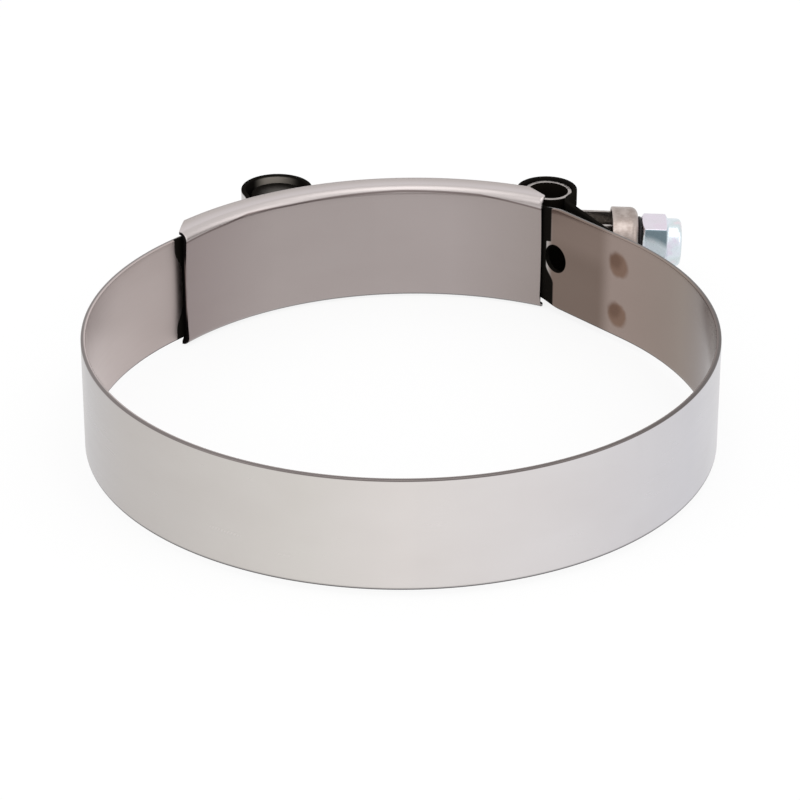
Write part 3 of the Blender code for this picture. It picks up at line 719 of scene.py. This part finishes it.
stripLook = {
    # the outer face is bright, warm on the left and cool on the right; the inner one is darker and browner as
    # painted shade, and both follow painted reflections along the strip
    "outside": [(-0.110, (0.60, 0.58, 0.57)), (-0.066, (0.46, 0.44, 0.44)), (-0.050, (0.52, 0.49, 0.47)),
                (-0.015, (0.65, 0.62, 0.59)), (0.0, (0.72, 0.68, 0.66)), (0.020, (0.72, 0.69, 0.69)),
                (0.055, (0.60, 0.59, 0.62)), (0.110, (0.60, 0.59, 0.60))],
    "inside": [(-0.115, (0.465, 0.40, 0.385)), (-0.088, (0.55, 0.475, 0.46)), (-0.020, (0.40, 0.345, 0.335)),
               (0.070, (0.17, 0.135, 0.125)), (0.090, (0.16, 0.125, 0.115)), (0.101, (0.26, 0.21, 0.18)),
               (0.118, (0.31, 0.245, 0.218))],
    # painted dark reflection on the inner face towards the right loop, low and high
    "shadedWallLow": (0.18, 0.134, 0.112),
    "shadedWallHigh": (0.215, 0.162, 0.138),
    "loopMetal": (0.55, 0.53, 0.52),
    # painted shade inside the loops and at the bridge's ends, and a painted highlight on the back wall of the
    # left loop
    "paintedShade": (0.008, 0.007, 0.006),
    "paintedLitWallMetal": (0.36, 0.325, 0.285),
    # heat tint of a weld: how far back from it and up, and where the tint starts and is full
    "heat": (1.25 * mm, 0.0, 3.2 * mm, 2.2 * mm),
    "scorch": (0.5 * mm, 0.7 * mm, 2.7 * mm, 1.3 * mm),
    "heatSag": 0.55 * mm,
    # painted shade behind the bridge's ends: the earliest and latest places where it starts, and where it stops
    "leftEndShade": (0.1173, 0.1190, 0.1205),
    "rightEndShade": (0.1359, 0.1377, 0.1390),
}


def stripFinish():
    # rolled stainless: the strip attribute holds length, height and face, so the grain runs along the strip
    finish = Finish("satinStripSteel", Metallic=1.0)
    fade, blend, tinted = finish.fade, finish.blend, finish.tinted
    noise, joined = finish.noise, finish.joined
    along, height, face = finish.parts(finish.attribute("strip"))
    grain = noise(joined(along * 60, height * 2600, face * 4), 3.0, 0.6)
    fine = noise(joined(along * 150, height * 6000, face * 9), 2.0, 0.6)
    cloud = noise(joined(along * 35, height * 60, face * 3), 3.0, 0.55)
    drift = noise(joined(along * 9, height * 16, face * 5), 2.0, 0.5)
    outer = fade(face, -0.2, 0.5)
    inside = finish.ramp(along, stripLook["inside"])
    # painted dark reflection on the inner face towards the right loop, lighter towards the top
    shadedWall = blend(fade(height, 10.5 * mm, 14.5 * mm), stripLook["shadedWallLow"], stripLook["shadedWallHigh"])
    inside = blend(fade(along, 0.1212, 0.1250), inside, shadedWall)
    # past the ring the inner face turns outwards, round the loops and over the tails, and is bright again
    rightLoop, leftLoop = rightEnd["loopAt"], leftEnd["loopAt"]
    inLoop = fade(along, rightLoop - 1.5 * mm, rightLoop + 1.0 * mm)
    inLoop = inLoop.most(fade(along, -leftLoop + 1.5 * mm, -leftLoop - 1.0 * mm))
    inside = blend(inLoop, inside, stripLook["loopMetal"])
    colour = blend(outer, inside, finish.ramp(along, stripLook["outside"]))
    colour = tinted(colour, fade(cloud, 0.35, 0.75, 0.0, 0.10), (0.62, 0.56, 0.52))
    colour = tinted(colour, fade(drift, 0.4, 0.7, 0.0, 0.10), (0.80, 0.78, 0.80))
    # heat tint round the spot welds, on both sides of the sheet
    point = finish.point()
    wobble = noise(point, scale=500) * (0.9 * mm)

    def roundWelds(back, up, start, full):
        spots = []
        for end, turned in ((rightEnd, 1), (leftEnd, flip)):
            flat = (end["weld"] + np.array([end["out"][1], -end["out"][0]]) * back) * turned
            for level in (-1, 1):
                place = inFrame(*flat, middle + level * strip["weldSpacing"] / 2 + up - stripLook["heatSag"])
                spots.append(fade(finish.distance(point, tuple(place)) + wobble, start, full))
        return spots[0].most(spots[1]).most(spots[2]).most(spots[3])

    heat, scorch = roundWelds(*stripLook["heat"]), roundWelds(*stripLook["scorch"])
    colour = tinted(colour, heat * 0.8, (0.60, 0.44, 0.33))
    colour = tinted(colour, scorch * 0.45, (0.42, 0.34, 0.30))
    # painted shade: the edges of the necked loops are dark
    fromMiddle = (height - middle).size()
    topEdge = fade(fromMiddle, middle - 1.15 * mm, middle - 0.85 * mm)
    # painted shade: inside, each loop is black up over its edges; a painted highlight lights the back wall of
    # the left one above the head
    x, y, z = finish.parts(point)
    deep = lineY + strip["ringMiddle"][1]
    paintedLitWall = fade(y, deep + 3.4 * mm, deep + 5.2 * mm) * fade(x, -17.5 * mm, -22.5 * mm)
    paintedLitWall = paintedLitWall * fade(x, -28.0 * mm, -23.5 * mm) * (1 - topEdge) * fade(cloud, 0.25, 0.6, 0.4, 1.0)
    paintedFilm = blend(paintedLitWall, stripLook["paintedShade"], stripLook["paintedLitWallMetal"])
    # painted shade on the inner face behind both ends of the bridge, more at its corners than at mid height
    early, late, stop = stripLook["leftEndShade"]
    start = fade(fromMiddle, 3.0 * mm, 7.5 * mm, late, early)
    leftEndShade = fade(along + start, 0.05 * mm, -0.15 * mm) * fade(along, -stop - 2 * mm, -stop)
    early, late, stop = stripLook["rightEndShade"]
    start = fade(height, 12.1 * mm, 12.5 * mm, late, early + 0.7 * mm)
    start = start.least(fade(height, 7.5 * mm, 4.5 * mm, late, early))
    rightEndShade = fade(along - start, -0.20 * mm, 0.15 * mm) * fade(along, stop + 1.5 * mm, stop)
    endShade = leftEndShade.most(rightEndShade) * (1 - outer)
    # the wall of the tooling hole gets painted shade too
    holeMiddle = tuple(inFrame(*holePlace, middle))
    hole = fade(finish.distance(point, holeMiddle), strip["holeRadius"] + 0.20 * mm,
                strip["holeRadius"] + 0.08 * mm)
    # painted shade: the right loop is black outside too, on the side the legs come out of
    fromLoopX, fromLoopY = x - inFrame(loopX["right"], 0, 0)[0], y - deep
    roundLoop = fade((fromLoopX * fromLoopX + fromLoopY * fromLoopY) ** 0.5, 6.6 * mm, 5.8 * mm)
    legSide = roundLoop * fade(fromLoopX, 2.2 * mm, 3.6 * mm)
    # painted shade on the loops' edges and insides
    loopShade = (inLoop * topEdge).most(inLoop * fade(face, -0.6, 0.4))
    finish.paintedShadeFilm(loopShade.most(endShade).most(legSide).most(hole), paintedFilm)
    # painted shade on the rolled edges: darker along the outer half of the upper one and all round the lower
    # one, and painted shade at the foot of the outer face
    rim = fade(fromMiddle, middle - 0.34 * mm, middle - 0.2 * mm) * (1 - inLoop)
    upper = fade(height, middle, middle + 1 * mm)
    foot = fade(height, 0.55 * mm, 0.2 * mm) * outer
    edge = blend(fade(along, -0.05, 0.1), (0.20, 0.175, 0.17), (0.115, 0.10, 0.096))
    colour = blend(rim * (1 - upper) * 0.9, colour, (0.09, 0.085, 0.087))
    colour = blend(rim * upper, colour, blend(fade(face, -0.5, 0.1), inside, edge))
    colour = blend(foot * 0.6, colour, (0.12, 0.115, 0.12))
    leftWall = fade(along, -0.05, -0.08) * (1 - outer)
    roughness = (0.17 + outer * 0.13 + leftWall * 0.20 + (grain - 0.5) * 0.12 + (cloud - 0.5) * 0.06
                 + heat * 0.08)
    relief = grain * 0.7 + fine * 0.3
    return finish.set(Base_Color=colour, Roughness=roughness, Normal=finish.bump(relief, 0.0015 * mm))


bridgeLook = {
    "web": [(0.0, (0.30, 0.25, 0.245)), (0.020, (0.40, 0.35, 0.34)), (0.052, (0.41, 0.36, 0.352)),
            (0.068, (0.335, 0.29, 0.275))],
    # the painted dark line under the upper bend wanders along the bridge as the real bend does: lineAt = lineLow
    # + lineRise * share
    "lineLow": 8.33 * mm,
    "lineRise": 1.4 * mm,
    "lineShare": [(0.0, 0.3), (0.010, 0.5), (0.0145, 0.85), (0.023, 0.65), (0.043, 0.95), (0.057, 0.8),
                  (0.068, 0.05)],
    # the black of the painted shade at the bridge's ends
    "paintedShade": (0.006, 0.005, 0.005),
}


def bridgeFinish():
    finish = Finish("satinBridgeSteel", Metallic=1.0)
    fade, blend, tinted = finish.fade, finish.blend, finish.tinted
    noise, joined = finish.noise, finish.joined
    along, height, face = finish.parts(finish.attribute("strip"))
    grain = noise(joined(along * 20, height * 2600, face * 4), 3.0, 0.6)
    fine = noise(joined(along * 150, height * 9000, face * 9), 2.0, 0.6)
    cloud = noise(joined(along * 40, height * 70, face * 3), 3.0, 0.55)
    inner = fade(face, 0.5, -0.5)
    length = bridge["radius"] * math.radians(bridge["lastAngle"] - bridge["firstAngle"])
    fromEnd = along.least(length - along)
    # painted light on the upper bend: a painted highlight with a painted dark line where it starts, and a flange
    # painted darker towards its rim; the lower bend, which faces the floor, is darkened with painted shade
    x, y, _ = finish.parts(finish.point())
    across, deep = x - bridge["centre"][0], y - bridge["centre"][1]
    outwards = (across * across + deep * deep) ** 0.5 - bridge["radius"]
    lineShare = finish.ramp(along, [(place, (share, share, share)) for place, share in bridgeLook["lineShare"]])
    lineAt = lineShare * bridgeLook["lineRise"] + bridgeLook["lineLow"]
    bendShare = fade(height - lineAt, 0.27 * mm, 0.45 * mm)
    line = fade(height - lineAt, -0.05 * mm, 0.05 * mm) * (1 - bendShare)
    flangeShare = fade(height, 10.55 * mm, 10.66 * mm)
    flange = blend(fade(outwards, 3.6 * mm, 1.2 * mm), (0.46, 0.41, 0.395), (0.58, 0.53, 0.53))
    colour = blend(line * 0.8, finish.ramp(along, bridgeLook["web"]), (0.17, 0.135, 0.13))
    colour = blend(bendShare, colour, (0.52, 0.475, 0.465))
    colour = blend(flangeShare, colour, flange)
    colour = blend(fade(height, -9.95 * mm, -10.15 * mm), colour, (0.18, 0.17, 0.17))
    colour = blend(inner, (0.38, 0.34, 0.32), colour)
    colour = tinted(colour, fade(cloud, 0.4, 0.7, 0.0, 0.08), (0.7, 0.66, 0.64))
    # painted shade: the sheared ends, the outer face just behind them and the lower corner near each end are
    # black
    sheared = fade(fromEnd, 0.10 * mm, 0.03 * mm) * fade(along, 0.03, 0.02)
    sheared = sheared * fade(height.size(), 3.0 * mm, 6.5 * mm) * (1 - flangeShare)
    behind = (1 - inner) * fade(fromEnd, 0.5 * mm, 0.2 * mm) * (1 - bendShare)
    corner = (1 - inner) * fade(height, -9.0 * mm, -9.6 * mm) * fade(fromEnd, 6.0 * mm, 4.0 * mm)
    finish.paintedShadeFilm(sheared.most(behind).most(corner), bridgeLook["paintedShade"])
    roughness = 0.30 + bendShare * 0.10 + (grain - 0.5) * 0.06 + (cloud - 0.5) * 0.05
    return finish.set(Base_Color=colour, Roughness=roughness,
                      Normal=finish.bump(grain * 0.6 + fine * 0.4, 0.0008 * mm))


def boltLineVector(finish):
    # the point in the bolt line's own axes, in millimetres
    inMillimetres = finish.add("ShaderNodeVectorMath", {"operation": "MULTIPLY"}, {
        0: finish.point(), 1: (1 / mm, 1 / mm, 1 / mm)})
    moved = finish.add("ShaderNodeVectorMath", {"operation": "SUBTRACT"}, {
        0: inMillimetres, 1: tuple(boltLine["origin"] / mm)})
    return finish.add("ShaderNodeVectorRotate", {"rotation_type": "Y_AXIS"},
                      {"Vector": moved, "Center": (0, 0, 0), "Angle": -boltLine["droop"]})


def boltFinish():
    finish = Finish("rolledThreadSteel", Metallic=1.0)
    vector = boltLineVector(finish)
    x, y, z = finish.parts(vector)
    speck = finish.noise(vector, 4.0, 0.6, 3)
    headX = x - boltLine["headAt"] / mm
    fromAxis = (headX * headX + y * y) ** 0.5
    marks = finish.noise(finish.joined(fromAxis * 14, 0.5, 0.5), 2.0, 0.7)
    endFace = finish.fade(z.size(), 6.5, 6.8) * finish.fade(x, -40.0, -42.0)
    colour = finish.blend(finish.fade(speck, 0.35, 0.7), (0.36, 0.335, 0.31), (0.46, 0.43, 0.40))
    # painted shade: the head is black, a little less so round the middle of its end faces
    thinnerShade = finish.fade(fromAxis + (speck - 0.5) * 2, 4.2, 0.8) * endFace
    finish.paintedShadeFilm(finish.fade(x, -39.0, -41.0) * (1 - thinnerShade * 0.25), (0.008, 0.007, 0.006))
    roughness = 0.30 + (speck - 0.5) * 0.15 + endFace * 0.12
    height = marks * endFace + speck * 0.3
    return finish.set(Base_Color=colour, Roughness=roughness, Normal=finish.bump(height, 0.010 * mm))


def formedFinish(name, deep, pale, roughness, shadedInLoop=False):
    # sheet steel pressed to shape: draw lines along the bolt line, with clouding
    finish = Finish(name, Metallic=1.0)
    vector = boltLineVector(finish)
    x, y, z = finish.parts(vector)
    draw = finish.noise(finish.joined(x * 0.5, y * 7, z * 7), 3.0, 0.65)
    cloud = finish.noise(vector, 3.0, 0.6, 0.6)
    colour = finish.blend(finish.fade(cloud, 0.35, 0.68), deep, pale)
    colour = finish.tinted(colour, finish.fade(draw, 0.45, 0.75, 0.0, 0.25), (0.72, 0.66, 0.62))
    if shadedInLoop:
        # painted shade: the barrel is black inside its loop but for its cut rim
        rim = finish.fade(z.size(), 9.20, 9.28)
        barrel = finish.fade(x, 4.6, 4.2) * (1 - rim)
        finish.paintedShadeFilm(barrel, (0.010, 0.008, 0.006))
    rough = roughness + (draw - 0.5) * 0.18
    return finish.set(Base_Color=colour, Roughness=rough, Normal=finish.bump(draw, 0.006 * mm))


def washerFinish():
    finish = Finish("blackOxideWasher", Metallic=0.6, IOR=1.5)
    grain = finish.noise(boltLineVector(finish), 4.0, 0.6, 6)
    colour = finish.blend(finish.fade(grain, 0.45, 0.75), (0.006, 0.005, 0.006), (0.03, 0.026, 0.03))
    return finish.set(Base_Color=colour, Roughness=0.42 + grain * 0.15, Normal=finish.bump(grain, 0.008 * mm))


def zincFinish():
    # bright zinc: pale, with a drifting blue and pink cast in its clear film
    finish = Finish("clearZincPlate", Metallic=1.0)
    vector = boltLineVector(finish)
    x, y, z = finish.parts(vector)
    drift = finish.noise(vector, scale=0.35)
    fine = finish.noise(vector, 3.0, 0.6, 4)
    cast = finish.add("ShaderNodeValToRGB", {"stops": [
        (0.30, (0.72, 0.66, 0.78)), (0.45, (0.74, 0.80, 0.86)), (0.58, (0.66, 0.74, 0.76)),
        (0.70, (0.78, 0.72, 0.76))]}, {0: drift})
    colour = finish.tinted(cast, finish.fade(fine, 0.4, 0.7, 0.0, 0.15), (0.78, 0.80, 0.82))
    # painted reflections on every other flat: teal from the ridge down, thinning out along the flat, and rose on
    # the flats between
    turn = finish.add("ShaderNodeMath", {"operation": "ARCTAN2"}, {0: z, 1: y}) * (180 / math.pi)
    pair = finish.add("ShaderNodeMath", {"operation": "FLOORED_MODULO"}, {0: turn - 131.0, 1: 120.0})
    share, along = pair / 60.0, (x - nut["start"] / mm) / (nut["hex"] / mm)
    hexagon = finish.fade(along, 0.06, 0.12) * finish.fade(along, 0.98, 0.90) * finish.fade(share, 1.0, 0.98)
    tealReflection = finish.fade(share - along * along * 0.35, 0.45, 0.12) * hexagon
    colour = finish.blend(hexagon * 0.5, colour, (0.42, 0.49, 0.53))
    colour = finish.blend(tealReflection * 0.9, colour, (0.13, 0.19, 0.22))
    roseReflection = finish.fade(share, 1.0, 1.02) * finish.fade(along, 0.98, 0.90)
    colour = finish.blend(roseReflection * 0.7, colour, (0.74, 0.64, 0.72))
    return finish.set(Base_Color=colour, Roughness=0.20 + fine * 0.12, Normal=finish.bump(fine, 0.006 * mm))


def nylonFinish():
    finish = Finish("nylonRing", Metallic=0.0, IOR=1.53, Subsurface_Weight=0.15)
    fine = finish.noise(boltLineVector(finish), 3.0, 0.6, 5)
    colour = finish.blend(fine, (0.66, 0.70, 0.80), (0.78, 0.81, 0.87))
    return finish.set(Base_Color=colour, Roughness=0.40 + fine * 0.12, Normal=finish.bump(fine, 0.01 * mm))


dress(band, "clamp", ["band"], stripFinish())
dress(bridgePiece, "bridge", ["bridge"], bridgeFinish())
dress(tBolt, "clamp", ["t_bolt"], boltFinish())
dress(trunnionPiece, "clamp", ["trunnion"],
      formedFinish("pressedTrunnionSteel", (0.34, 0.31, 0.295), (0.45, 0.42, 0.40), 0.30, shadedInLoop=True))
dress(capPiece, "clamp", ["end_cap"],
      formedFinish("drawnCapSteel", (0.33, 0.275, 0.25), (0.46, 0.40, 0.37), 0.38))
dress(washerPiece, "washer", ["thrust_washer"], washerFinish())
dress(nutPiece, "nut", ["lock_nut"], zincFinish())
dress(insertPiece, "nut", ["nylon_insert"], nylonFinish())
print("Finishes made")


# Studio

studio = {
    "cameraAzimuth": math.radians(0.059),
    "cameraElevation": math.radians(27.376),
    "cameraDistance": 584.66 * mm,
    "cameraTarget": np.array([-0.174, -0.293, 3.925]) * mm,
    "cameraRoll": math.radians(0.029),
    "lens": 158.778,
    "floorHalf": 3.0,
    "floorShare": 0.86,  # how much of the floor's white is its own, for rays from the camera and from gloss
    "worldLight": 0.92,
    # name, place, size and power
    "lamps": [("topSoftBox", (0.05, -0.25, 0.9), 0.7, 2.0), ("leftSoftBox", (-0.9, -0.5, 0.5), 0.6, 1.2),
              ("rightSoftBox", (0.9, -0.3, 0.5), 0.6, 1.2)],
}


def whiteSeen(tree):
    # 1 for rays from the camera, from gloss and through glass
    rays = tree.nodes.new("ShaderNodeLightPath")
    seen = rays.outputs["Is Camera Ray"]
    for key in ("Is Glossy Ray", "Is Transmission Ray"):
        most = tree.nodes.new("ShaderNodeMath")
        most.operation = "MAXIMUM"
        wire(tree, (seen, most.inputs[0]), (rays.outputs[key], most.inputs[1]))
        seen = most.outputs[0]
    return seen


def makeFloor():
    half = studio["floorHalf"]
    floor = meshFrom("studioFloor", [(-half, -half, 0), (half, -half, 0), (half, half, 0), (-half, half, 0)],
                     [[0, 1, 2, 3]])
    material = bpy.data.materials.new("paleFloor")
    material.use_nodes = True
    tree = material.node_tree
    tree.nodes.clear()
    diffuse, glow = tree.nodes.new("ShaderNodeBsdfDiffuse"), tree.nodes.new("ShaderNodeEmission")
    diffuse.inputs["Color"].default_value = (0.92, 0.92, 0.92, 1)
    glow.inputs["Color"].default_value = (1, 1, 1, 1)
    share, mix = tree.nodes.new("ShaderNodeMath"), tree.nodes.new("ShaderNodeMixShader")
    share.operation = "MULTIPLY"
    share.inputs[1].default_value = studio["floorShare"]
    wire(tree, (whiteSeen(tree), share.inputs[0]), (share.outputs[0], mix.inputs[0]),
         (diffuse.outputs[0], mix.inputs[1]), (glow.outputs[0], mix.inputs[2]),
         (mix.outputs[0], tree.nodes.new("ShaderNodeOutputMaterial").inputs[0]))
    floor.data.materials.append(material)


def makeWorld():
    world = bpy.data.worlds.new("paleStudio")
    world.use_nodes = True
    tree = world.node_tree
    tree.nodes.clear()
    strength = tree.nodes.new("ShaderNodeMapRange")
    strength.inputs[3].default_value, strength.inputs[4].default_value = studio["worldLight"], 1.0
    background = tree.nodes.new("ShaderNodeBackground")
    background.inputs["Color"].default_value = (1, 1, 1, 1)
    wire(tree, (whiteSeen(tree), strength.inputs[0]), (strength.outputs[0], background.inputs["Strength"]),
         (background.outputs[0], tree.nodes.new("ShaderNodeOutputWorld").inputs[0]))
    bpy.context.scene.world = world


def makeLamp(name, place, size, power):
    # a square soft light that faces the clamp
    lamp = bpy.data.lights.new(name, "AREA")
    lamp.shape, lamp.size, lamp.energy = "SQUARE", size, power
    holder = bpy.data.objects.new(name, lamp)
    holder.location = place
    holder.rotation_euler = (Vector((0, 0, 0.01)) - Vector(place)).to_track_quat("-Z", "Y").to_euler()
    bpy.context.scene.collection.objects.link(holder)


def makeCamera():
    # looks at the target from its azimuth and elevation, turned a little about its own axis
    azimuth, elevation = studio["cameraAzimuth"], studio["cameraElevation"]
    back = Vector((math.sin(azimuth) * math.cos(elevation), -math.cos(azimuth) * math.cos(elevation),
                   math.sin(elevation)))
    data = bpy.data.cameras.new("photoCamera")
    data.lens, data.sensor_width = studio["lens"], 36.0
    data.clip_start, data.clip_end = 0.01, 20.0
    camera = bpy.data.objects.new("photoCamera", data)
    turn = (-back).to_track_quat("-Z", "Y").to_matrix().to_4x4() @ Matrix.Rotation(studio["cameraRoll"], 4, "Z")
    place = Vector(studio["cameraTarget"]) + back * studio["cameraDistance"]
    camera.matrix_world = Matrix.Translation(place) @ turn
    bpy.context.scene.collection.objects.link(camera)
    bpy.context.scene.camera = camera


makeFloor()
makeWorld()
for name, *lamp in studio["lamps"]:
    makeLamp(name, *lamp)
makeCamera()
bpy.context.scene.view_settings.view_transform = "Standard"
